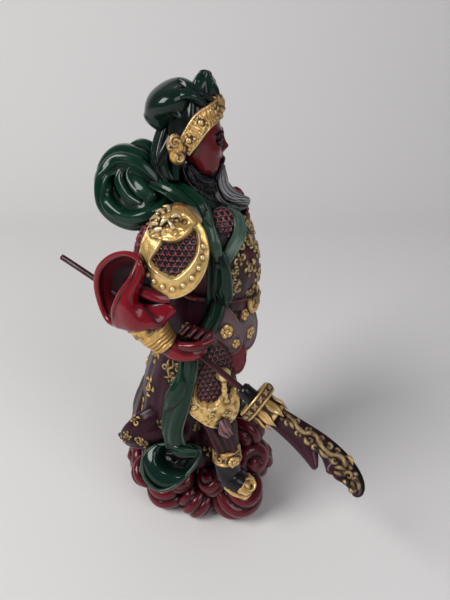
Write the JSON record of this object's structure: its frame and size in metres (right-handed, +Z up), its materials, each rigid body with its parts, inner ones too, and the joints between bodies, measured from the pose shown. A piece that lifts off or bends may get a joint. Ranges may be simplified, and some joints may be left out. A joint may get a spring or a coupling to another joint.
{
  "type": "guan yu statue",
  "caption": "Cast and painted standing figurine of a bearded general in robe and armour on a bank of clouds, holding a polearm low at the right side.",
  "frame": {"origin": "on the flat underside, at the middle of the figure, on the surface that it stands on", "axes": "+Z up; the figure faces -Y, its right hand with the polearm is at -X"},
  "size_m": [0.1449, 0.1914, 0.3002],
  "materials": {
    "painted_resin": "cast resin, painted in dark red, green, purple brown and antiqued gold, glossy lacquer",
    "painted_wire": "wire, painted dark red, semi-gloss",
    "painted_blade": "cast resin, painted purple brown with antiqued gold, semi-gloss"
  },
  "bodies": {
    "root": {"figure": "painted_resin", "polearm_shaft": "painted_wire", "blade_head": "painted_blade"}
  },
  "joints": []
}
